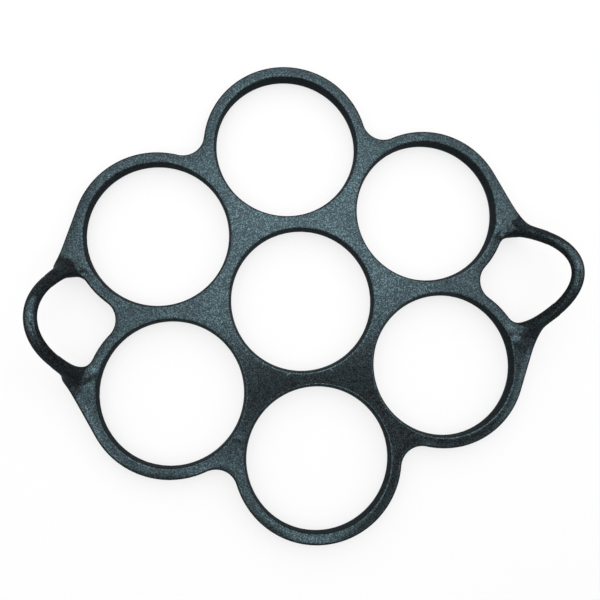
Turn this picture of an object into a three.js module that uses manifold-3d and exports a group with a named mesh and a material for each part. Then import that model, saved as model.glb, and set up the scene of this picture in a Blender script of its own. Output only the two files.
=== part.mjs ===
// Silicone pancake mold: seven round openings in one thick plate, with a lifting loop at each side.
// Lengths are in millimetres, angles in degrees. +Z is up, and +X runs from loop to loop.
// The real object is one moulding, so the meshes are its plate, its two loops and the four short
// necks where the loops bend. They meet face to face on level planes.
import * as THREE from "three";
import { mergeVertices } from "three/addons/utils/BufferGeometryUtils.js";
import Module from "manifold-3d";

const wasm = await Module();
wasm.setup();

// Driving sizes of the plate and its openings
const plateThickness = 10;
const throatRadius = 35.35; // an opening's narrowest radius, half way down its wall
const webThickness = 8.3; // between the throats of neighbouring openings
const ringWall = 6.8; // from an outer opening's throat to the outside of its ring
const wallFlare = 0.9; // an opening's wall leans out by this much at each face
const openingEdgeRound = 0.9;
const outerEdgeRound = 2.2;
const partingSwell = 0.25; // the outer wall stands out this far at mid height
const notchFillet = 10.5; // in the hollow between two outer rings

// Driving sizes of a loop's root, where it grows out of the plate
const rootStandoff = 5.2; // root centre beyond the ring's outer edge, along X
const rootHalfGap = 26.7; // root centre from the mold's long axis
const rootRadius = 4.1;
const rootCornerFillet = 7.3;
const flareHeight = 15; // the root narrows into the rod up to this far over the top face
const flareStart = 2; // and starts this far below it
const flareInset = 0.3; // its lower end stays this far inside the root

// Driving sizes of a loop
const rodRadius = 3.05;
const loopHeight = 33.3; // along its own slope, from the top face to the rod's centre
const footInset = 3.45; // the rod's foot stands this far inside the root centre along X
const footDrift = 1; // and this far towards the long axis
const footDepth = 2.5; // it goes this far down into the plate
const leftRise = 68.4; // slope of the loop's plane over the plate, as it stands at rest
const rightRise = 55.8;
const neckStart = 3; // the neck that bends reaches from here above the top face
const neckEnd = 12; // up to here

// Proportions with no unit
const loopEllipseShare = 2.5; // half height of the loop's ellipse over the loop's height
const flareTopShare = 0.9; // radius of the flare's upper end over the rod's

// Facet counts
const openingSides = 48;
const openingEdgeSteps = 2;
const outerEdgeSteps = 3;
const ringArcStep = 6;
const filletArcStep = 11;
const rodSides = 14;
const rodSteps = 44;
const flareSteps = 5;

const overrun = 5; // how far a cutting solid stands past what it cuts
const vertexMergeDistance = 1e-5;
const outerRings = 6;
const ringStep = 360 / outerRings;
const silicone = { color: 0x465459, roughness: 0.62, metalness: 0 };

const rad = THREE.MathUtils.degToRad;
const deg = THREE.MathUtils.radToDeg;
const polar = (centre, radius, degrees) =>
  new THREE.Vector2(
    centre.x + radius * Math.cos(rad(degrees)),
    centre.y + radius * Math.sin(rad(degrees)),
  );

// Sizes and places worked out from the driving sizes
const pitch = 2 * throatRadius + webThickness;
const ringOuterRadius = throatRadius + ringWall;
const origin = new THREE.Vector2(0, 0);
const ringCentre = polar(origin, pitch, ringStep / 2); // the outer ring beside the right-hand root
const rootCentre = new THREE.Vector2(
  ringCentre.x + ringOuterRadius + rootStandoff,
  rootHalfGap,
);
const footReach = rootCentre.x - footInset;
const footHalfGap = rootCentre.y - footDrift;
const halfThickness = plateThickness / 2;

// A closed geometry as a solid, with its shared vertices merged and its collapsed faces left out.
function solidFrom(geometry) {
  const bare = geometry.clone();
  bare.deleteAttribute("normal");
  bare.deleteAttribute("uv");
  const merged = mergeVertices(bare, vertexMergeDistance);
  const corners = merged.index.array;
  const kept = [];
  for (let i = 0; i < corners.length; i += 3) {
    const [a, b, c] = [corners[i], corners[i + 1], corners[i + 2]];
    if (a !== b && b !== c && c !== a) kept.push(a, b, c);
  }
  return new wasm.Manifold(
    new wasm.Mesh({
      numProp: 3,
      vertProperties: merged.attributes.position.array,
      triVerts: new Uint32Array(kept),
    }),
  );
}

// A solid as a geometry with flat facets.
function geometryFrom(solid) {
  const mesh = solid.getMesh();
  const geometry = new THREE.BufferGeometry();
  geometry.setAttribute("position", new THREE.BufferAttribute(mesh.vertProperties, 3));
  geometry.setIndex(new THREE.BufferAttribute(mesh.triVerts, 1));
  const flat = geometry.toNonIndexed();
  flat.computeVertexNormals();
  return flat;
}

// Skin through level rings of points, listed from the lowest up, each counterclockwise from above.
function loft(rings) {
  const count = rings[0].length;
  const faces = [];
  for (let level = 0; level + 1 < rings.length; level++) {
    for (let i = 0; i < count; i++) {
      const next = (i + 1) % count;
      const a = level * count + i;
      const b = level * count + next;
      faces.push(a, b, b + count, a, b + count, a + count);
    }
  }
  const flatten = (ring) => ring.map((p) => new THREE.Vector2(p.x, p.y));
  const lastRing = (rings.length - 1) * count;
  for (const [a, b, c] of THREE.ShapeUtils.triangulateShape(flatten(rings[0]), [])) {
    faces.push(a, c, b);
  }
  for (const [a, b, c] of THREE.ShapeUtils.triangulateShape(flatten(rings.at(-1)), [])) {
    faces.push(lastRing + a, lastRing + b, lastRing + c);
  }
  const geometry = new THREE.BufferGeometry();
  geometry.setFromPoints(rings.flat());
  geometry.setIndex(faces);
  return geometry;
}

// Points along an arc. The last one is left out where the next arc starts on it.
function arcPoints({ centre, radius, from, to, step, keepsEnd }) {
  const steps = Math.ceil(Math.abs(to - from) / step);
  const count = keepsEnd ? steps + 1 : steps;
  return Array.from({ length: count }, (_, i) =>
    polar(centre, radius, from + ((to - from) * i) / steps),
  );
}

// A quarter of the plate's outline, moved inwards by inset: from the hollow at the right-hand loop
// round the root, along the straight shoulder and the outer ring, to the far ring's outermost point.
// Bulging arcs shrink with the inset and hollow ones grow, so tangents stay tangents.
function quarterOutline(inset) {
  const ringRadius = ringOuterRadius - inset;
  const filletReach = ringOuterRadius + notchFillet;
  const notchLean = deg(Math.asin(ringCentre.y / filletReach));
  const notchReach = ringCentre.x + filletReach * Math.cos(rad(notchLean));
  const farNotch = polar(origin, notchReach, ringStep);
  const farRing = new THREE.Vector2(0, pitch);

  const cornerY = rootCentre.y - rootRadius - rootCornerFillet;
  const cornerReach = ringOuterRadius + rootCornerFillet;
  const cornerLean = deg(Math.asin((ringCentre.y - cornerY) / cornerReach));
  const corner = polar(ringCentre, cornerReach, -cornerLean);

  const toRoot = rootCentre.clone().sub(ringCentre);
  const shoulder =
    deg(Math.atan2(toRoot.y, toRoot.x)) +
    deg(Math.acos((ringOuterRadius - rootRadius) / toRoot.length()));

  const hollow = { radius: notchFillet + inset, step: filletArcStep };
  const ring = { centre: ringCentre, radius: ringRadius, step: ringArcStep };
  const arcs = [
    { ...hollow, centre: new THREE.Vector2(notchReach, 0), from: 180, to: 180 - notchLean },
    { ...ring, from: -notchLean, to: -cornerLean },
    {
      centre: corner,
      radius: rootCornerFillet + inset,
      from: 180 - cornerLean,
      to: 90,
      step: filletArcStep,
      keepsEnd: true,
    },
    {
      centre: rootCentre,
      radius: rootRadius - inset,
      from: -90,
      to: shoulder,
      step: filletArcStep,
      keepsEnd: true,
    },
    { ...ring, from: shoulder, to: ringStep + notchLean },
    { ...hollow, centre: farNotch, from: notchLean - 2 * ringStep, to: -notchLean - 2 * ringStep },
    { ...ring, centre: farRing, from: ringStep - notchLean, to: 90, keepsEnd: true },
  ];
  return arcs.flatMap(arcPoints);
}

// The whole outline, counterclockwise: the quarter and its three mirror images.
function plateOutline(inset) {
  const quarter = quarterOutline(inset);
  const leftQuarter = quarter.slice(0, -1).reverse();
  const half = [...quarter, ...leftQuarter.map((p) => new THREE.Vector2(-p.x, p.y))];
  const frontHalf = half.slice(1, -1).reverse();
  return [...half, ...frontHalf.map((p) => new THREE.Vector2(p.x, -p.y))];
}

// The plate before its openings are cut: rounded edges and a wall that swells to mid height.
function plateBlank() {
  const lowerLevels = [];
  for (let i = 0; i <= outerEdgeSteps; i++) {
    const turn = rad((90 * i) / outerEdgeSteps);
    lowerLevels.push({
      z: outerEdgeRound * (1 - Math.cos(turn)),
      inset: partingSwell + outerEdgeRound * (1 - Math.sin(turn)),
    });
  }
  const upperLevels = lowerLevels
    .map(({ z, inset }) => ({ z: plateThickness - z, inset }))
    .reverse();
  const levels = [...lowerLevels, { z: halfThickness, inset: 0 }, ...upperLevels];
  const rings = levels.map(({ z, inset }) =>
    plateOutline(inset).map((p) => new THREE.Vector3(p.x, p.y, z)),
  );
  return solidFrom(loft(rings));
}

// The space of one opening: it widens from its throat to both faces, over rounded edges.
function openingSpace() {
  const lean = Math.atan(wallFlare / halfThickness);
  const edgeHeight = halfThickness - openingEdgeRound;
  const edgeCentre = new THREE.Vector2(
    throatRadius + (openingEdgeRound + edgeHeight * Math.sin(lean)) / Math.cos(lean),
    edgeHeight,
  );
  const upperProfile = arcPoints({
    centre: edgeCentre,
    radius: openingEdgeRound,
    from: 180 - deg(lean),
    to: 90,
    step: (90 - deg(lean)) / openingEdgeSteps,
    keepsEnd: true,
  });
  upperProfile.push(new THREE.Vector2(edgeCentre.x, halfThickness + overrun));
  upperProfile.push(new THREE.Vector2(0, halfThickness + overrun));
  const lowerProfile = upperProfile.map((p) => new THREE.Vector2(p.x, -p.y)).reverse();
  const throat = new THREE.Vector2(throatRadius, 0);
  const space = new THREE.LatheGeometry([...lowerProfile, throat, ...upperProfile], openingSides);
  space.rotateX(rad(90));
  space.translate(0, 0, halfThickness);
  return space;
}

// The middle opening and the six round it.
function allOpenings() {
  const space = openingSpace();
  const centres = [origin];
  for (let i = 0; i < outerRings; i++) {
    centres.push(polar(origin, pitch, ringStep * (i + 0.5)));
  }
  return centres.map((c) => solidFrom(space.clone().translate(c.x, c.y, 0)));
}

// Centre line of a loop that rises to the right: part of an ellipse in a sloping plane.
class LoopPath extends THREE.Curve {
  constructor(riseDegrees) {
    super();
    this.rise = rad(riseDegrees);
    this.halfHeight = loopHeight * loopEllipseShare;
    this.sunk = this.halfHeight - loopHeight;
    this.halfWidth = footHalfGap / Math.cos(Math.asin(this.sunk / this.halfHeight));
    this.startTurn = Math.asin((this.sunk - footDepth) / this.halfHeight);
  }

  // The point at this height over the top face, on the rear side.
  atHeight(height) {
    const slopeDistance = height / Math.sin(this.rise);
    return this.atTurn(Math.asin((slopeDistance + this.sunk) / this.halfHeight));
  }

  atTurn(turn) {
    const slopeDistance = this.halfHeight * Math.sin(turn) - this.sunk;
    return new THREE.Vector3(
      footReach + slopeDistance * Math.cos(this.rise),
      this.halfWidth * Math.cos(turn),
      plateThickness + slopeDistance * Math.sin(this.rise),
    );
  }

  getPoint(t) {
    return this.atTurn(THREE.MathUtils.lerp(this.startTurn, Math.PI - this.startTurn, t));
  }
}

// The round rod of a loop, from inside the plate over the top and down into the plate again.
function loopRod(path) {
  const section = Array.from({ length: rodSides }, (_, i) =>
    polar(origin, rodRadius, (360 * i) / rodSides),
  );
  return solidFrom(
    new THREE.ExtrudeGeometry(new THREE.Shape(section), {
      steps: rodSteps,
      extrudePath: path,
      curveSegments: 1,
    }),
  );
}

// The flared root: level rings that leave the plate's rim wide and narrow upwards into the rod, as
// the bell of a trumpet does. Side is 1 for the rear root and -1 for the front one.
function rootFlare(path, side) {
  const footRadius = rootRadius - flareInset;
  const topRadius = rodRadius * flareTopShare;
  const rings = [
    levelRing({ x: rootCentre.x, y: side * rootCentre.y }, footRadius, plateThickness - flareStart),
  ];
  for (let step = 0; step <= flareSteps; step++) {
    const height = (flareHeight * step) / flareSteps;
    const left = (1 - step / flareSteps) ** 2;
    const rod = path.atHeight(height);
    const centre = { x: rod.x + footInset * left, y: side * (rod.y + footDrift * left) };
    const radius = THREE.MathUtils.lerp(topRadius, footRadius, left);
    rings.push(levelRing(centre, radius, plateThickness + height));
  }
  return solidFrom(loft(rings));
}

// A level ring of points round a centre, counterclockwise from above.
function levelRing(centre, radius, z) {
  return Array.from({ length: rodSides }, (_, i) => {
    const p = polar(centre, radius, (360 * i) / rodSides);
    return new THREE.Vector3(p.x, p.y, z);
  });
}

// A block that holds everything of the mold between two heights and on one side of the long axis.
function slab(lowZ, highZ, lowY, highY) {
  const reach = 2 * (rootCentre.x + loopHeight + overrun);
  const block = new THREE.BoxGeometry(2 * reach, highY - lowY, highZ - lowZ);
  block.translate(0, (lowY + highY) / 2, (lowZ + highZ) / 2);
  return solidFrom(block);
}

// One loop with its roots, standing at the right, cut into root stubs, necks and the loop itself.
function loopParts(riseDegrees) {
  const path = new LoopPath(riseDegrees);
  const whole = loopRod(path).add(rootFlare(path, 1)).add(rootFlare(path, -1));
  const far = pitch + loopHeight;
  const sky = plateThickness + loopHeight + rodRadius + overrun;
  const neckLow = plateThickness + neckStart;
  const neckHigh = plateThickness + neckEnd;
  return {
    stubs: whole.intersect(slab(0, neckLow, -far, far)),
    rearNeck: whole.intersect(slab(neckLow, neckHigh, 0, far)),
    frontNeck: whole.intersect(slab(neckLow, neckHigh, -far, 0)),
    loop: whole.intersect(slab(neckHigh, sky, -far, far)),
  };
}

// The same pieces carried round to the left: half a turn about Z, which swaps front and rear.
function carriedLeft({ stubs, rearNeck, frontNeck, loop }) {
  const turned = (solid) => {
    const geometry = geometryFrom(solid);
    geometry.applyMatrix4(new THREE.Matrix4().makeScale(-1, -1, 1));
    return solidFrom(geometry);
  };
  return {
    stubs: turned(stubs),
    rearNeck: turned(frontNeck),
    frontNeck: turned(rearNeck),
    loop: turned(loop),
  };
}

function siliconeMesh(name, solid) {
  const mesh = new THREE.Mesh(geometryFrom(solid), new THREE.MeshStandardMaterial(silicone));
  mesh.name = name;
  return mesh;
}

// The mold, moved along X so that its outer box is centred on the origin and stands on z = 0.
function pancakeMold() {
  const right = loopParts(rightRise);
  const left = carriedLeft(loopParts(leftRise));
  let plate = plateBlank().add(right.stubs).add(left.stubs);
  for (const opening of allOpenings()) plate = plate.subtract(opening);

  const mold = new THREE.Group();
  mold.add(
    siliconeMesh("ring_plate", plate),
    siliconeMesh("left_handle", left.loop),
    siliconeMesh("left_neck_front", left.frontNeck),
    siliconeMesh("left_neck_rear", left.rearNeck),
    siliconeMesh("right_handle", right.loop),
    siliconeMesh("right_neck_front", right.frontNeck),
    siliconeMesh("right_neck_rear", right.rearNeck),
  );
  const middle = new THREE.Box3().setFromObject(mold).getCenter(new THREE.Vector3());
  mold.position.x = -middle.x;
  return mold;
}

export default pancakeMold();
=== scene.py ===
"""A silicone pancake mold: a thick plate with seven round openings and a loop at each side.

The whole mold is one moulding, so its skin is one smooth form. The form is written as a distance
to its surface, in Geometry Nodes, and meshed there. It is then parted level with the start of the
loops' necks into a plate and two loops. Lengths are in millimetres until the mesh is put in its
place in metres.
"""

import logging
import math
from dataclasses import dataclass, field
from enum import Enum
from typing import Any, Callable, Iterable, Mapping, Optional, Union

import bmesh
import bpy
from mathutils import Euler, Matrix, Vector


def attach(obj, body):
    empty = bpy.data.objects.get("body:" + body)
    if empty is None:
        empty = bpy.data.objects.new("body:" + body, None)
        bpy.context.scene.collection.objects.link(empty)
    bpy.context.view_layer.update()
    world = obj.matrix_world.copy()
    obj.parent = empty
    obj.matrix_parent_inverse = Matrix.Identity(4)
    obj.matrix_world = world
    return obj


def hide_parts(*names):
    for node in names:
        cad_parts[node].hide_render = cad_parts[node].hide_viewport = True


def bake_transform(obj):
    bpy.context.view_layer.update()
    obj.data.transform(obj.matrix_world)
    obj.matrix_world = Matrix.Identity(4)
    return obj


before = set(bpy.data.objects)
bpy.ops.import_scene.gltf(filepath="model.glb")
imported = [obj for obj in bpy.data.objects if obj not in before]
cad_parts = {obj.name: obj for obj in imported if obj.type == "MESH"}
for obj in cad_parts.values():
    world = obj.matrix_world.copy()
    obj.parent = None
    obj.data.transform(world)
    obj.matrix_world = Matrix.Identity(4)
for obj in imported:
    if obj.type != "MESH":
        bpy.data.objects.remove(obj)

log = logging.getLogger("pancake_mold")

Number = Union["Term", float]
Pair = tuple[float, float]

MM = 0.001
FAR_AWAY = 1000.0
FACING = "facing"
RING_STEP = math.pi / 3.0
HALF_RING_STEP = math.pi / 6.0
TETRAHEDRON = ((1, -1, -1), (-1, -1, 1), (-1, 1, -1), (1, 1, 1))
WHITE = (1.0, 1.0, 1.0, 1.0)


class Side(Enum):
    """The two ends of the mold that carry a lifting loop."""

    LEFT = -1.0
    RIGHT = 1.0


class Ray(Enum):
    """Rays that see the floor and the world as white, by their Light Path output."""

    CAMERA = "Is Camera Ray"
    TRANSMISSION = "Is Transmission Ray"


class Term:
    """A number that a node gives, for sums written as Python."""

    def __init__(self, graph: "Graph", socket: bpy.types.NodeSocket) -> None:
        """Keeps the socket and the graph that new nodes go to.

        Args:
            graph: the graph that holds the socket.
            socket: the output socket.
        """
        self.graph = graph
        self.socket = socket

    def __add__(self, other: Number) -> "Term":
        """The sum."""
        return self.graph.sum("ADD", self, other)

    def __radd__(self, other: Number) -> "Term":
        """The sum, with a plain number first."""
        return self.graph.sum("ADD", other, self)

    def __sub__(self, other: Number) -> "Term":
        """The difference."""
        return self.graph.sum("SUBTRACT", self, other)

    def __rsub__(self, other: Number) -> "Term":
        """The difference, with a plain number first."""
        return self.graph.sum("SUBTRACT", other, self)

    def __mul__(self, other: Number) -> "Term":
        """The product."""
        return self.graph.sum("MULTIPLY", self, other)

    def __rmul__(self, other: Number) -> "Term":
        """The product, with a plain number first."""
        return self.graph.sum("MULTIPLY", other, self)

    def __truediv__(self, other: Number) -> "Term":
        """The quotient."""
        return self.graph.sum("DIVIDE", self, other)

    def __neg__(self) -> "Term":
        """The number with its sign turned."""
        return self.graph.sum("MULTIPLY", self, -1.0)


class Graph:
    """A node tree that is written as expressions."""

    def __init__(self, tree: bpy.types.NodeTree) -> None:
        """Keeps the tree.

        Args:
            tree: a geometry or shader node tree.
        """
        self.tree = tree

    def node(
        self,
        kind: str,
        settings: Mapping[str, Any] = {},
        sockets: Mapping[Union[int, str], Any] = {},
    ) -> bpy.types.Node:
        """Adds any node.

        Args:
            kind: the node's type.
            settings: the node's own properties, set first.
            sockets: a value, a term or an output socket for each named or numbered input.

        Returns:
            The new node.
        """
        made = self.tree.nodes.new(kind)
        for name, value in settings.items():
            setattr(made, name, value)
        for key, value in sockets.items():
            value = value.socket if isinstance(value, Term) else value
            if isinstance(value, bpy.types.NodeSocket):
                self.tree.links.new(value, made.inputs[key])
            else:
                made.inputs[key].default_value = value
        return made

    def term(self, node: bpy.types.Node, output: Union[int, str] = 0) -> Term:
        """One output of a node as a term."""
        return Term(self, node.outputs[output])

    def sum(self, operation: str, *numbers: Number) -> Term:
        """A Math node on one to three numbers.

        Args:
            operation: the Math node's operation.
            numbers: its inputs in order.

        Returns:
            The result.
        """
        sockets = dict(enumerate(numbers))
        return self.term(self.node("ShaderNodeMath", {"operation": operation}, sockets))

    def size(self, value: Number) -> Term:
        """The number without its sign."""
        return self.sum("ABSOLUTE", value)

    def low(self, *numbers: Number) -> Term:
        """The smallest of several numbers.

        Args:
            numbers: the numbers.

        Returns:
            The smallest.
        """
        least = numbers[0]
        for number in numbers[1:]:
            least = self.sum("MINIMUM", least, number)
        return least

    def high(self, *numbers: Number) -> Term:
        """The largest of several numbers.

        Args:
            numbers: the numbers.

        Returns:
            The largest.
        """
        most = numbers[0]
        for number in numbers[1:]:
            most = self.sum("MAXIMUM", most, number)
        return most

    def within(self, value: Number) -> Term:
        """The number held between 0 and 1."""
        return self.low(self.high(value, 0.0), 1.0)

    def reach(self, *parts: Number) -> Term:
        """The length of an arrow.

        Args:
            parts: how far it goes along each axis.

        Returns:
            Its length.
        """
        squares = [part * part for part in parts]
        total = squares[0]
        for square in squares[1:]:
            total = total + square
        return self.sum("SQRT", total)

    def ramp_up(self, value: Number, start: float, end: float) -> Term:
        """A rise from 0 to 1 that is soft at both ends.

        Args:
            value: the number that rises.
            start: where the rise starts.
            end: where it ends.

        Returns:
            The share, from 0 to 1.
        """
        share = self.within((value - start) / (end - start))
        return share * share * (3.0 - 2.0 * share)

    def rounded_meeting(self, a: Number, b: Number, radius: Number) -> Term:
        """Distance to what lies inside both forms, with a rounded edge between them.

        Args:
            a: distance to one form's surface, less than zero inside.
            b: distance to the other's.
            radius: the edge's radius.

        Returns:
            Distance to the shared form.
        """
        core = self.low(self.high(a, b), -radius)
        return core + self.reach(self.high(a + radius, 0.0), self.high(b + radius, 0.0))


class FormGraph(Graph):
    """A Geometry Nodes tree with named inputs for its sizes."""

    def __init__(self, name: str) -> None:
        """Starts an empty tree.

        Args:
            name: the tree's name.
        """
        super().__init__(bpy.data.node_groups.new(name, "GeometryNodeTree"))
        self.entry = self.tree.nodes.new("NodeGroupInput")
        self.values: dict[str, float] = {}

    def given(self, name: str, kind: str) -> bpy.types.NodeSocket:
        """An input that the tree gets from outside, such as a point or a geometry.

        Args:
            name: the input's name.
            kind: its socket type.

        Returns:
            The socket to read it from.
        """
        self.tree.interface.new_socket(name=name, in_out="INPUT", socket_type=kind)
        return self.entry.outputs[name]

    def named(self, name: str, value: float) -> Term:
        """A named input for one size, made when it is first asked for.

        Args:
            name: the size's plain name.
            value: the size that the mold has.

        Returns:
            The input as a term.
        """
        if name not in self.values:
            socket = self.tree.interface.new_socket(
                name=name, in_out="INPUT", socket_type="NodeSocketFloat"
            )
            self.values[name] = value
            socket.default_value = value
        return self.term(self.entry, name)

    def result(self, kind: str, **values: Any) -> None:
        """Ends the tree.

        Args:
            kind: the socket type of its outputs.
            values: what each output gives, by name.
        """
        for name in values:
            self.tree.interface.new_socket(name=name, in_out="OUTPUT", socket_type=kind)
        self.node("NodeGroupOutput", sockets=values)

    def run(self, inner: "FormGraph", sockets: Mapping[str, Any], output: str) -> Term:
        """Runs another tree inside this one and passes its named sizes on.

        Args:
            inner: the other tree.
            sockets: what it is given.
            output: which of its outputs to take.

        Returns:
            That output.
        """
        step = self.node("GeometryNodeGroup", {"node_tree": inner.tree}, sockets)
        for name, value in inner.values.items():
            self.tree.links.new(self.named(name, value).socket, step.inputs[name])
        return self.term(step, output)

    def vector(self, operation: str, *parts: Any, **named: Any) -> bpy.types.NodeSocket:
        """A Vector Math node.

        Args:
            operation: its operation.
            parts: its vectors in order.
            named: further inputs by name.

        Returns:
            The resulting vector.
        """
        sockets = {**dict(enumerate(parts)), **named}
        return self.node("ShaderNodeVectorMath", {"operation": operation}, sockets).outputs[0]

    def mesh(self, name: str) -> bpy.types.Mesh:
        """Runs the tree on an empty object and takes the result as a plain mesh.

        Args:
            name: the new mesh's name.

        Returns:
            The mesh, with no modifier left behind.
        """
        holder = bpy.data.objects.new(name, bpy.data.meshes.new(name))
        bpy.context.scene.collection.objects.link(holder)
        modifier = holder.modifiers.new(name, "NODES")
        modifier.node_group = self.tree
        for socket in self.tree.interface.items_tree:
            if socket.in_out == "INPUT" and socket.name in self.values:
                modifier[socket.identifier] = self.values[socket.name]
        evaluated = holder.evaluated_get(bpy.context.evaluated_depsgraph_get())
        mesh = bpy.data.meshes.new_from_object(evaluated)
        bpy.data.objects.remove(holder)
        return mesh


@dataclass
class RingPlate:
    """The thick plate: seven openings and the shoulders that carry the loops.

    The top face has a crown along its outer rim and rises softly to the loops' rods. The openings'
    walls are narrowest at mid height.
    """

    thickness: float = 10.0
    throat_radius: float = 35.35
    web_thickness: float = 8.3
    ring_wall: float = 6.8
    wall_flare: float = 0.9
    opening_edge_round: float = 0.9
    outer_edge_round: float = 1.1
    crown_width: float = 5.4
    crown_drop: float = 0.7
    land_blend: float = 13.0
    parting_swell: float = 0.25
    throat_softness: float = 0.35
    notch_fillet: float = 10.5
    root_standoff: float = 5.2
    root_half_gap: float = 26.7
    root_radius: float = 4.1
    root_corner_fillet: float = 7.3
    fillet_reach: float = 3.0

    @property
    def pitch(self) -> float:
        """Centre to centre of neighbouring openings."""
        return 2.0 * self.throat_radius + self.web_thickness

    @property
    def outer_radius(self) -> float:
        """Radius of an outer ring's outside."""
        return self.throat_radius + self.ring_wall

    @property
    def side_ring(self) -> Pair:
        """Centre of the outer ring beside a root."""
        return self.pitch * math.cos(HALF_RING_STEP), self.pitch / 2.0

    @property
    def root(self) -> Pair:
        """Centre of the round corner that carries a loop."""
        return self.side_ring[0] + self.outer_radius + self.root_standoff, self.root_half_gap

    @property
    def shoulder(self) -> float:
        """The way that the straight shoulder faces.

        Returns:
            Its direction, in radians from the long axis.
        """
        across = self.root[0] - self.side_ring[0]
        along = self.root[1] - self.side_ring[1]
        lean = math.acos((self.outer_radius - self.root_radius) / math.hypot(across, along))
        return math.atan2(along, across) + lean

    @property
    def hollow_reach(self) -> float:
        """From the mold's centre to the centre of the fillet between two outer rings."""
        reach = self.outer_radius + self.notch_fillet
        return self.side_ring[0] + math.sqrt(reach**2 - self.side_ring[1] ** 2)

    @property
    def corner(self) -> Pair:
        """Where the fillet between a ring and a root sits, on the side of the finger hole.

        Returns:
            The fillet's centre.
        """
        height = self.root[1] - self.root_radius - self.root_corner_fillet
        reach = self.outer_radius + self.root_corner_fillet
        return (
            self.side_ring[0] + math.sqrt(reach**2 - (self.side_ring[1] - height) ** 2),
            height,
        )

    def outline(self, g: FormGraph, x: Term, y: Term) -> Term:
        """Level distance to the plate's outline, in the quarter where x and y are positive.

        Args:
            g: the tree.
            x: distance from the middle along the long axis.
            y: distance from the long axis.

        Returns:
            The distance, less than zero inside.
        """
        outer = g.named("Outer ring radius", self.outer_radius)
        side_x = g.named("Side ring x", self.side_ring[0])
        side_y = g.named("Side ring y", self.side_ring[1])
        far = g.named("Ring pitch", self.pitch)
        rings = g.low(
            g.reach(x - side_x, y - side_y) - outer,
            g.reach(x, y - far) - outer,
        )
        reach = self.hollow_reach
        far_hollow = (reach * math.cos(RING_STEP), reach * math.sin(RING_STEP))
        hollow = g.named("Hollow fillet", self.notch_fillet)
        hollows = g.low(
            self._fillet(g, x, y, (reach, 0.0), hollow, self.side_ring, (0.0, 0.0)),
            self._fillet(g, x, y, far_hollow, hollow, (0.0, self.pitch), self.side_ring),
        )
        above_corner = (self.corner[0], self.corner[1] + self.outer_radius)
        corner = self._fillet(
            g, x, y, self.corner, g.named("Corner fillet", self.root_corner_fillet),
            above_corner, self.side_ring,
        )
        middle = g.reach(x, y) - g.named("Middle reach", self.pitch)
        return g.low(rings, hollows, corner, middle, self._root_block(g, x, y))

    def _fillet(
        self,
        g: FormGraph,
        x: Term,
        y: Term,
        centre: Pair,
        radius: Term,
        first: Pair,
        last: Pair,
    ) -> Term:
        """Distance to a hollow fillet, inside the corner that it fills and far away elsewhere.

        Args:
            g: the tree.
            x: place along the long axis.
            y: place across it.
            centre: the fillet's centre.
            radius: its radius.
            first: a point past the clockwise end of the fillet, seen from its centre.
            last: a point past its other end.

        Returns:
            The distance, less than zero inside the mold.
        """
        dx = x - centre[0]
        dy = y - centre[1]
        outside: Number = 0.0
        for point, turn in ((first, 1.0), (last, -1.0)):
            across = (point[0] - centre[0], point[1] - centre[1])
            length = math.hypot(*across) * turn
            past = dx * (across[1] / length) - dy * (across[0] / length)
            outside = g.high(past, outside)
        away = g.reach(dx, dy)
        beyond = away - self.fillet_reach * radius
        return g.high(radius - away, beyond) + outside * FAR_AWAY

    def _root_block(self, g: FormGraph, x: Term, y: Term) -> Term:
        """Distance to the round-ended wedge between a ring and its root.

        Args:
            g: the tree.
            x: place along the long axis.
            y: place across it.

        Returns:
            The distance, less than zero inside.
        """
        face = (math.cos(self.shoulder), math.sin(self.shoulder))
        dx = x - g.named("Root x", self.root[0])
        dy = y - g.named("Root y", self.root[1])
        past_shoulder = dx * face[0] + dy * face[1]
        up_shoulder = dy * face[0] - dx * face[1]
        beyond = g.within(g.low(dx, -up_shoulder) * FAR_AWAY)
        lines = g.high(-dy, past_shoulder)
        wedge = lines + (g.reach(dx, dy) - lines) * beyond
        from_ring = (y - self.side_ring[1]) * face[0] - (x - self.side_ring[0]) * face[1]
        return g.high(wedge - g.named("Root radius", self.root_radius), from_ring)

    def distance(
        self, g: FormGraph, x: Term, y: Term, z: Term, rod: Term
    ) -> tuple[Term, Term]:
        """Distance to the plate's surface.

        Args:
            g: the tree.
            x: place along the long axis.
            y: place across it.
            z: height above the underside.
            rod: distance to the loops' rods, towards which the top face rises.

        Returns:
            The distance, less than zero inside, and how far the point is inside the border of
            the flat faces, seen from above.
        """
        thickness = g.named("Thickness", self.thickness)
        half = thickness / 2.0
        level = g.size(z - half)
        quarter_x, quarter_y = g.size(x), g.size(y)
        edge = g.named("Outer edge round", self.outer_edge_round)
        swell = g.low(level / (half - edge), 1.0) * g.named("Parting swell", self.parting_swell)
        rim = self.outline(g, quarter_x, quarter_y) + swell
        land_blend = g.named("Land blend", self.land_blend)
        top = g.sum("SMOOTH_MIN", z - thickness, rod, land_blend)
        share = g.within(rim / g.named("Crown width", self.crown_width) + 1.0)
        crown = share * share * g.named("Crown drop", self.crown_drop)
        block = g.rounded_meeting(rim, g.high(top, -z) + crown, edge)

        side_x, side_y = self.side_ring
        from_middle = g.low(
            g.reach(quarter_x, quarter_y),
            g.reach(quarter_x - side_x, quarter_y - side_y),
            g.reach(quarter_x, quarter_y - self.pitch),
        )
        throat = g.named("Throat radius", self.throat_radius)
        flare = g.named("Wall flare", self.wall_flare)
        softness = g.named("Throat softness", self.throat_softness)
        soft = g.reach(level, softness) - softness
        lean = math.cos(math.atan(2.0 * self.wall_flare / self.thickness))
        wall = (throat + flare * soft / half - from_middle) * lean
        edge_round = g.named("Opening edge round", self.opening_edge_round)
        border = g.low(-(rim + edge), -(wall + edge_round))
        return g.rounded_meeting(block, wall, edge_round), border


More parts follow.
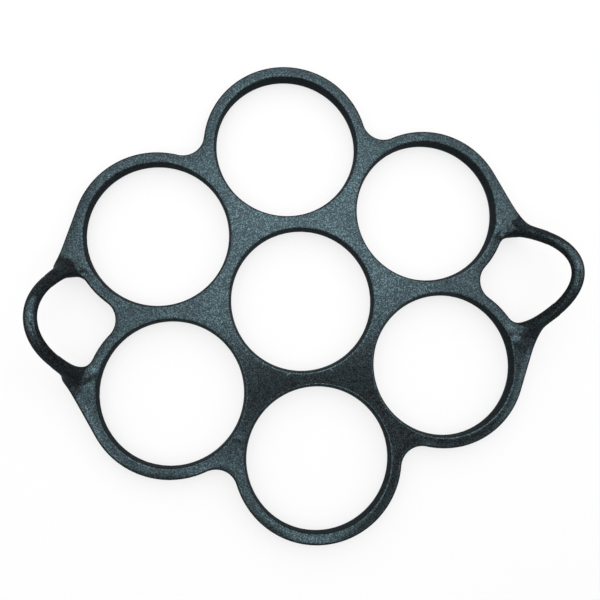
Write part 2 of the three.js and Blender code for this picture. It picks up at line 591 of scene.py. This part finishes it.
@dataclass
class LiftingLoop:
    """One soft rod that rises from the two roots on its side and bends back into them."""

    side: Side
    rise_degrees: float
    plate: RingPlate
    rod_radius: float = 3.03
    height: float = 33.3
    foot_inset: float = 3.45
    foot_drift: float = 1.0
    foot_depth: float = 4.0
    ellipse_share: float = 2.5
    flare_height: float = 15.0
    flare_depth: float = 2.5
    flare_foot_radius: float = 3.8
    flare_top_radius: float = 2.6
    path_points: int = 160

    @property
    def foot(self) -> Pair:
        """Where the rod's centre line passes the top face, at the rear root."""
        root_x, root_y = self.plate.root
        return root_x - self.foot_inset, root_y - self.foot_drift

    @property
    def half_height(self) -> float:
        """Half height of the ellipse that the centre line follows."""
        return self.height * self.ellipse_share

    @property
    def sunk(self) -> float:
        """Depth of the ellipse's centre below the top face, along the slope."""
        return self.half_height - self.height

    @property
    def half_width(self) -> float:
        """Half width of that ellipse."""
        return self.foot[1] / math.cos(math.asin(self.sunk / self.half_height))

    @property
    def reach(self) -> Vector:
        """How far the rod reaches.

        Returns:
            Its farthest place from the middle and its highest, as sizes.
        """
        rise = math.radians(self.rise_degrees)
        return Vector((
            self.foot[0] + self.height * math.cos(rise) + self.rod_radius,
            0.0,
            self.plate.thickness + self.height * math.sin(rise) + self.rod_radius,
        ))

    def centre_line(self, g: FormGraph) -> bpy.types.NodeSocket:
        """The rod's centre line as a fine chain of points.

        Args:
            g: the tree.

        Returns:
            The chain as a mesh of edges.
        """
        name = self.side.name.capitalize()
        rise = g.named(f"{name} loop rise", math.radians(self.rise_degrees))
        start = math.asin((self.sunk - self.foot_depth) / self.half_height)
        count = self.path_points
        line = g.node("GeometryNodeMeshLine", {"mode": "OFFSET"}, {"Count": count})
        index = g.term(g.node("GeometryNodeInputIndex"))
        turn = start + index * ((math.pi - 2.0 * start) / (count - 1))
        arc_top = g.sum("SINE", turn) * g.named("Loop half height", self.half_height)
        up = arc_top - g.named("Loop sunk depth", self.sunk)
        across = g.sum("COSINE", turn) * g.named("Loop half width", self.half_width)
        along = g.sum("COSINE", rise) * up + g.named("Loop foot x", self.foot[0])
        place = g.node("ShaderNodeCombineXYZ", sockets={
            0: along * self.side.value,
            1: across,
            2: g.sum("SINE", rise) * up + g.named("Thickness", self.plate.thickness),
        })
        moved = g.node("GeometryNodeSetPosition", sockets={
            "Geometry": line.outputs[0], "Position": place.outputs[0],
        })
        return moved.outputs[0]

    def flare(self, g: FormGraph, x: Term, y: Term, z: Term) -> Term:
        """Distance to the trumpet in which the rod widens down to its root.

        Args:
            g: the tree.
            x: place along the long axis.
            y: place across it, as a size.
            z: height above the underside.

        Returns:
            The distance, less than zero inside.
        """
        rise = math.radians(self.rise_degrees)
        half_height = g.named("Loop half height", self.half_height)
        half_width = g.named("Loop half width", self.half_width)
        height = g.named("Flare height", self.flare_height)
        top_radius = g.named("Flare top radius", self.flare_top_radius)
        widening = g.named("Flare widening", self.flare_foot_radius - self.flare_top_radius)

        up = z - g.named("Thickness", self.plate.thickness)
        above = g.high(up, 0.0)
        left = 1.0 - g.within(above / height)
        share = left * left
        slope = above / math.sin(rise) + g.named("Loop sunk depth", self.sunk)
        turn = slope / half_height
        rod_y = g.sum("SQRT", g.high(1.0 - turn * turn, 0.0)) * half_width
        rod_x = above / math.tan(rise) + g.named("Loop foot x", self.foot[0])
        middle_x = rod_x + share * g.named("Foot inset", self.foot_inset)
        middle_y = rod_y + share * g.named("Foot drift", self.foot_drift)
        away = g.reach(x - middle_x * self.side.value, y - middle_y)
        around = (away - (top_radius + share * widening)) * math.sin(rise)
        below = -up - g.named("Flare depth", self.flare_depth)
        return g.high(around, up - height, below)


@dataclass
class MoldForm:
    """The whole moulding as one form, meshed and then parted at the necks of its loops."""

    plate: RingPlate = field(default_factory=RingPlate)
    left_rise: float = 68.4
    right_rise: float = 55.8
    neck_start: float = 3.0
    neck_end: float = 12.0
    root_blend: float = 2.0
    hole_blend: float = 4.5
    hole_blend_span: Pair = (5.0, 1.0)
    root_blend_rise: Pair = (2.0, 6.5)
    flare_blend: float = 2.0
    cell: float = 0.5
    level_cell: float = 0.45
    flatness: float = 0.01
    snap_share: Pair = (0.15, 0.65)
    snap_facing: float = 0.75
    growth_step: float = 0.04
    margin: float = 2.5

    def loops(self) -> list[LiftingLoop]:
        """The two loops.

        Returns:
            The left one and the right one.
        """
        return [
            LiftingLoop(Side.LEFT, self.left_rise, self.plate),
            LiftingLoop(Side.RIGHT, self.right_rise, self.plate),
        ]

    def distance_tree(self) -> FormGraph:
        """Writes the distance from any point to the moulding's surface as a tree of its own.

        Returns:
            The tree. Its distance is less than zero inside.
        """
        g = FormGraph("distance to the moulding")
        point = g.given("Point", "NodeSocketVector")
        lines = g.given("Centre lines", "NodeSocketGeometry")
        gap, border = self._distance(g, point, lines)
        g.result("NodeSocketFloat", Distance=gap, Border=border)
        return g

    def _distance(
        self, g: FormGraph, point: bpy.types.NodeSocket, lines: bpy.types.NodeSocket
    ) -> tuple[Term, Term]:
        """Distance from a point to the moulding's surface.

        Args:
            g: the tree.
            point: the point.
            lines: the loops' centre lines.

        Returns:
            The distance, less than zero inside, and the flat faces' border as the plate
            gives it.
        """
        split = g.node("ShaderNodeSeparateXYZ", sockets={0: point})
        x, y, z = (g.term(split, i) for i in range(3))
        near = g.node("GeometryNodeProximity", {"target_element": "EDGES"}, {
            "Geometry": lines, "Sample Position": point,
        })
        rod = g.term(near, "Distance") - g.named("Rod radius", self.loops()[0].rod_radius)
        flares = g.low(*(loop.flare(g, x, g.size(y), z) for loop in self.loops()))
        rod = g.sum("SMOOTH_MIN", rod, flares, g.named("Flare blend", self.flare_blend))
        plate, border = self.plate.distance(g, x, y, z, rod)
        root_y = self.plate.root[1]
        before, after = self.hole_blend_span
        outer = g.ramp_up(g.size(y), root_y - before, root_y + after)
        hole_blend = g.named("Hole blend", self.hole_blend)
        blend = hole_blend + outer * (g.named("Root blend", self.root_blend) - hole_blend)
        blend = blend * g.ramp_up(z, *self.root_blend_rise)
        return g.sum("SMOOTH_MIN", plate, rod, blend), border

    def room(self) -> tuple[Vector, Vector]:
        """The room that the moulding needs, before it is centred.

        Returns:
            Its lowest and its highest corner.
        """
        left, right = (loop.reach for loop in self.loops())
        rear = self.plate.pitch + self.plate.outer_radius
        edge = Vector((self.margin,) * 3)
        low = Vector((-left.x, -rear, 0.0))
        high = Vector((right.x, rear, max(left.z, right.z)))
        return low - edge, high + edge

    def mesh(self, finish: bpy.types.Material) -> bpy.types.Mesh:
        """Meshes the form in Geometry Nodes.

        Args:
            finish: the material.

        Returns:
            The closed mesh, in millimetres, before the mold is centred.
        """
        g = FormGraph("silicone moulding")
        lines = g.node("GeometryNodeJoinGeometry")
        for loop in self.loops():
            g.tree.links.new(loop.centre_line(g), lines.inputs[0])
        distance = self.distance_tree()

        chains = lines.outputs[0]

        def gap_at(point: bpy.types.NodeSocket) -> Term:
            """Distance from a point to the surface."""
            return g.run(distance, {"Point": point, "Centre lines": chains}, "Distance")

        def border_at(point: bpy.types.NodeSocket) -> Term:
            """How far a point is inside the flat faces' border."""
            return g.run(distance, {"Point": point, "Centre lines": chains}, "Border")

        place = g.node("GeometryNodeInputPosition").outputs[0]

        low, high = self.room()
        span = high - low
        cube = g.node("GeometryNodeVolumeCube", sockets={
            "Density": -gap_at(place),
            "Background": -self.margin,
            "Min": low,
            "Max": high,
            "Resolution X": round(span.x / self.cell),
            "Resolution Y": round(span.y / self.cell),
            "Resolution Z": round(span.z / self.level_cell),
        })
        skin = g.node("GeometryNodeVolumeToMesh", sockets={
            "Volume": cube.outputs[0], "Threshold": 0.0, "Adaptivity": self.flatness,
        }).outputs[0]
        facing = self._growth(g, gap_at, place)
        settle = g.vector("SCALE", facing, Scale=-gap_at(place))
        level = g.size(g.term(g.node("ShaderNodeSeparateXYZ", sockets={0: facing}), 2))
        border = border_at(place)
        middle, spread = (share * self.cell for share in self.snap_share)
        close = g.sum("COMPARE", border, middle, spread)
        snap = close * g.sum("GREATER_THAN", level, self.snap_facing) * border
        inwards = g.vector("NORMALIZE", g.vector(
            "MULTIPLY", self._growth(g, border_at, place), Vector((1.0, 1.0, 0.0))
        ))
        onto_border = g.vector("SCALE", inwards, Scale=-snap)
        for move in (settle, settle, onto_border, settle):
            skin = g.node("GeometryNodeSetPosition", sockets={
                "Geometry": skin, "Offset": move,
            }).outputs[0]
        skin = g.node("GeometryNodeStoreNamedAttribute", {"data_type": "FLOAT_VECTOR"}, {
            "Geometry": skin, "Name": FACING, "Value": facing,
        }).outputs[0]
        smooth = g.node("GeometryNodeSetShadeSmooth", sockets={0: skin})
        whole = g.node("GeometryNodeRealizeInstances", sockets={0: smooth.outputs[0]})
        dressed = g.node("GeometryNodeSetMaterial", sockets={
            0: whole.outputs[0], "Material": finish,
        })
        g.result("NodeSocketGeometry", Geometry=dressed.outputs[0])
        return g.mesh("moulding")

    def _growth(
        self,
        g: FormGraph,
        value_at: Callable[[bpy.types.NodeSocket], Term],
        place: bpy.types.NodeSocket,
    ) -> bpy.types.NodeSocket:
        """The way in which a value grows fastest, from its values at four points beside a point.

        For the distance, the surface faces that way.

        Args:
            g: the tree.
            value_at: gives the value at a point.
            place: the point.

        Returns:
            An arrow of length 1.
        """
        total = None
        for corner in TETRAHEDRON:
            arrow = Vector(corner)
            beside = g.vector("ADD", place, arrow * self.growth_step)
            pull = g.vector("SCALE", arrow, Scale=value_at(beside))
            total = g.vector("ADD", total, pull) if total else pull
        return g.vector("NORMALIZE", total)


@dataclass(frozen=True)
class SiliconeFinish:
    """Dark silicone with the fine, sparkling grain that a blasted mold leaves.

    The grain is made of cells. A cell's luck, moved a little by a slow cloud, says how much of the
    bright fleck it shows.
    """

    body: tuple[float, float, float] = (0.0065, 0.0040, 0.0045)
    fleck: tuple[float, float, float] = (0.062, 0.098, 0.108)
    fleck_shine: float = 1.0
    sheen_tint: tuple[float, float, float] = (0.50, 0.86, 1.0)
    sheen_level: float = 0.30
    roughness: float = 0.08
    roughness_spread: float = 0.07
    grain_per_metre: float = 2400.0
    grain_detail: float = 3.0
    grain_roughness: float = 0.65
    grain_height: float = 0.00003
    cloud_per_metre: float = 55.0
    cloud_detail: float = 2.0
    cloud_share: float = 0.3
    luck_span: Pair = (0.35, 1.15)

    def material(self) -> bpy.types.Material:
        """Builds the material.

        Returns:
            A node material in object coordinates.
        """
        made = bpy.data.materials.new("silicone")
        made.use_nodes = True
        made.node_tree.nodes.clear()
        g = Graph(made.node_tree)
        place = g.node("ShaderNodeTexCoord").outputs["Object"]
        cells = g.node("ShaderNodeTexVoronoi", {"feature": "F1"}, {
            "Vector": place, "Scale": self.grain_per_metre,
        })
        luck = g.term(g.node("ShaderNodeSeparateXYZ", sockets={0: cells.outputs["Color"]}))
        fine = g.term(g.node("ShaderNodeTexNoise", sockets={
            "Vector": place,
            "Scale": self.grain_per_metre,
            "Detail": self.grain_detail,
            "Roughness": self.grain_roughness,
        }))
        cloud = g.term(g.node("ShaderNodeTexNoise", sockets={
            "Vector": place, "Scale": self.cloud_per_metre, "Detail": self.cloud_detail,
        }))
        bright = g.ramp_up(luck + (cloud - 0.5) * self.cloud_share, *self.luck_span)
        colour = g.node("ShaderNodeMix", {"data_type": "RGBA"}, {
            0: bright, 6: (*self.body, 1.0), 7: (*self.fleck, 1.0),
        })
        rough = self.roughness + (1.0 - luck) * self.roughness_spread
        bump = g.node("ShaderNodeBump", sockets={
            "Height": fine, "Strength": 1.0, "Distance": self.grain_height,
        })
        shader = g.node("ShaderNodeBsdfPrincipled", sockets={
            "Base Color": colour.outputs[2],
            "Metallic": bright * self.fleck_shine,
            "Specular IOR Level": self.sheen_level,
            "Specular Tint": (*self.sheen_tint, 1.0),
            "Roughness": rough,
            "Normal": bump.outputs[0],
        })
        g.node("ShaderNodeOutputMaterial", sockets={"Surface": shader.outputs[0]})
        return made


@dataclass
class SiliconeMold:
    """The dressed mold: the plate and its two loops, in the model's own frame."""

    form: MoldForm = field(default_factory=MoldForm)
    finish: SiliconeFinish = field(default_factory=SiliconeFinish)
    cut_tolerance: float = 1e-7

    def build(self) -> list[bpy.types.Object]:
        """Makes the pieces and puts the plate on its body.

        Returns:
            The pieces.
        """
        silicone = self.finish.material()
        mesh = self.form.mesh(silicone)
        mesh.materials[0] = silicone
        left, right = (loop.reach.x for loop in self.form.loops())
        off_centre = Vector(((right - left) / 2.0, 0.0, 0.0))
        for vertex in mesh.vertices:
            vertex.co = (vertex.co - off_centre) * MM
        log.info("skin: %d faces", len(mesh.polygons))
        return self._parted(mesh)

    def _parted(self, mesh: bpy.types.Mesh) -> list[bpy.types.Object]:
        """Parts the skin level with the start of the necks.

        Args:
            mesh: the whole skin.

        Returns:
            The plate and the two loops.
        """
        cut = (self.form.plate.thickness + self.form.neck_start) * MM
        pieces = [self._piece("mold_plate_skin", mesh, cut, None)]
        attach(pieces[0], "mold_plate")
        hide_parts("ring_plate")
        for side in Side:
            name = side.name.lower()
            piece = self._piece(f"{name}_loop_skin", mesh, cut, side)
            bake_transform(piece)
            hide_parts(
                f"{name}_handle", f"{name}_neck_front", f"{name}_neck_rear"
            )
            pieces.append(piece)
        bpy.data.meshes.remove(mesh)
        return pieces

    def _piece(
        self, name: str, mesh: bpy.types.Mesh, cut: float, side: Optional[Side]
    ) -> bpy.types.Object:
        """One piece of the skin, closed where it was cut.

        Args:
            name: the piece's name.
            mesh: the whole skin.
            cut: height of the cut, in metres.
            side: the loop's side, or nothing for the plate under the cut.

        Returns:
            The new object.
        """
        form = bmesh.new()
        form.from_mesh(mesh)
        geometry = form.verts[:] + form.edges[:] + form.faces[:]
        cut_edges = bmesh.ops.bisect_plane(
            form, geom=geometry, dist=self.cut_tolerance,
            plane_co=(0.0, 0.0, cut), plane_no=(0.0, 0.0, 1.0),
            clear_outer=side is None, clear_inner=side is not None,
        )["geom_cut"]
        if side is not None:
            other = [v for v in form.verts if v.co.x * side.value < 0.0]
            bmesh.ops.delete(form, geom=other, context="VERTS")
        rim = [e for e in cut_edges if e.is_valid and isinstance(e, bmesh.types.BMEdge)]
        bmesh.ops.holes_fill(form, edges=rim, sides=0)
        made = bpy.data.meshes.new(name)
        form.to_mesh(made)
        form.free()
        facing = made.attributes[FACING]
        made.normals_split_custom_set_from_vertices([each.vector for each in facing.data])
        made.attributes.remove(facing)
        made.materials.append(mesh.materials[0])
        piece = bpy.data.objects.new(name, made)
        bpy.context.scene.collection.objects.link(piece)
        return piece


@dataclass(frozen=True)
class SoftBox:
    """A level rectangular lamp that shines down.

    Its glow is the brightness of its face, where 1 is the brightness of white.
    """

    name: str
    place: tuple[float, float, float]
    size: Pair
    glow: float


@dataclass
class Studio:
    """Floor, lights and camera. Lengths are in metres.

    The lamps form a ceiling of boxes and panels. Lamps that overlap hang a few millimetres apart,
    so that their light adds up. Together they are brighter than a plain level: a level white card
    in the middle of the mold shows at about 1.6 times white.
    """

    camera_place: tuple[float, float, float] = (-0.037203, -0.02909, 0.38179)
    camera_turn: tuple[float, float, float] = (4.952, -4.58, -5.865)
    lens: float = 44.902
    sensor_width: float = 36.0
    near_clip: float = 0.01
    floor_size: float = 6.0
    floor_grey: float = 0.85
    floor_bounce: float = 0.09
    floor_glow: float = 0.80
    floor_white: float = 0.91
    white_to: tuple[Ray, ...] = (Ray.CAMERA, Ray.TRANSMISSION)
    ambient: float = 0.13
    lamps: tuple[SoftBox, ...] = (
        SoftBox("rear_ceiling", (0.074, 0.267, 0.750), (0.942, 0.523), 2.55),
        SoftBox("rear_box", (0.074, 0.215, 0.746), (0.314, 0.418), 1.25),
        SoftBox("middle_spot", (0.022, 0.163, 0.742), (0.210, 0.104), 0.4),
        SoftBox("front_spot", (0.022, -0.409, 0.744), (0.210, 0.482), 3.4),
        SoftBox("front_left_box", (-0.341, -0.203, 0.748), (0.517, 0.419), 1.8),
        SoftBox("front_right_box", (0.388, -0.099, 0.748), (0.314, 0.210), 0.65),
        SoftBox("far_left_panel", (-1.299, 0.058, 0.750), (1.803, 0.942), 1.4),
        SoftBox("far_right_panel", (1.448, 0.058, 0.750), (1.805, 0.942), 2.0),
        SoftBox("far_rear_panel", (0.074, 1.264, 0.750), (0.942, 1.471), 2.3),
        SoftBox("far_front_panel", (0.074, -0.806, 0.750), (0.942, 0.787), 0.35),
        SoftBox("rear_left_corner_panel", (-1.299, 1.264, 0.750), (1.803, 1.471), 1.6),
        SoftBox("rear_right_corner_panel", (1.448, 1.264, 0.750), (1.805, 1.471), 1.6),
        SoftBox("front_left_corner_panel", (-1.299, -1.130, 0.750), (1.803, 1.434), 0.5),
        SoftBox("front_right_corner_panel", (1.448, -1.130, 0.750), (1.805, 1.434), 0.6),
    )

    def build(self) -> None:
        """Builds the floor, the lights and the camera."""
        self._floor()
        self._world()
        for box in self.lamps:
            self._lamp(box)
        self._camera()

    def _floor(self) -> None:
        """A pale floor that shows as white and keeps the mold's faint shadow."""
        half = self.floor_size / 2.0
        mesh = bpy.data.meshes.new("floor")
        quarters = ((-1.0, -1.0), (1.0, -1.0), (1.0, 1.0), (-1.0, 1.0))
        corners = [(half * right, half * rear, 0.0) for right, rear in quarters]
        mesh.from_pydata(corners, [], [(0, 1, 2, 3)])
        floor = bpy.data.objects.new("floor", mesh)
        bpy.context.scene.collection.objects.link(floor)
        made = bpy.data.materials.new("floor")
        made.use_nodes = True
        made.node_tree.nodes.clear()
        g = Graph(made.node_tree)
        pale, dim = (
            g.node("ShaderNodeBsdfDiffuse", sockets={"Color": (grey, grey, grey, 1.0)})
            for grey in (self.floor_grey, self.floor_bounce)
        )
        white = g.node("ShaderNodeEmission", sockets={
            "Color": WHITE, "Strength": self.floor_white,
        })
        lit = g.node("ShaderNodeMixShader", sockets={
            0: self.floor_glow, 1: pale.outputs[0], 2: white.outputs[0],
        })
        mixed = g.node("ShaderNodeMixShader", sockets={
            0: self._shows_white(g), 1: dim.outputs[0], 2: lit.outputs[0],
        })
        g.node("ShaderNodeOutputMaterial", sockets={"Surface": mixed.outputs[0]})
        mesh.materials.append(made)

    def _shows_white(self, g: Graph) -> Term:
        """Which rays see the floor and the world as white.

        Args:
            g: the material's or the world's graph.

        Returns:
            1 for those rays and 0 for others.
        """
        path = g.node("ShaderNodeLightPath")
        return g.high(*(g.term(path, ray.value) for ray in self.white_to))

    def _world(self) -> None:
        """Dim light from all round, which shows as white."""
        world = bpy.data.worlds.new("studio")
        world.use_nodes = True
        world.node_tree.nodes.clear()
        g = Graph(world.node_tree)
        light = g.node("ShaderNodeBackground", sockets={
            "Color": WHITE,
            "Strength": self.ambient + self._shows_white(g) * (1.0 - self.ambient),
        })
        g.node("ShaderNodeOutputWorld", sockets={"Surface": light.outputs[0]})
        bpy.context.scene.world = world

    def _lamp(self, box: SoftBox) -> None:
        """Hangs one soft box.

        Args:
            box: its place, size and light.
        """
        lamp = bpy.data.lights.new(box.name, "AREA")
        lamp.shape = "RECTANGLE"
        lamp.size, lamp.size_y = box.size
        lamp.energy = box.glow * box.size[0] * box.size[1] * math.pi
        holder = bpy.data.objects.new(box.name, lamp)
        holder.location = box.place
        holder.visible_camera = False
        bpy.context.scene.collection.objects.link(holder)

    def _camera(self) -> None:
        """The camera at the photograph's viewing angle."""
        camera = bpy.data.cameras.new("camera")
        camera.lens = self.lens
        camera.sensor_width = self.sensor_width
        camera.clip_start = self.near_clip
        holder = bpy.data.objects.new("camera", camera)
        holder.location = self.camera_place
        holder.rotation_euler = Euler([math.radians(t) for t in self.camera_turn])
        bpy.context.scene.collection.objects.link(holder)
        bpy.context.scene.camera = holder


def main() -> None:
    """Builds the mold and its studio, and reports each piece."""
    logging.basicConfig(level=logging.INFO)
    bpy.context.scene.view_settings.view_transform = "Standard"
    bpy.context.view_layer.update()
    for piece in SiliconeMold().build():
        log.info("%s: %d faces", piece.name, len(piece.data.polygons))
    Studio().build()
    bpy.context.view_layer.update()


if __name__ == "__main__":
    main()
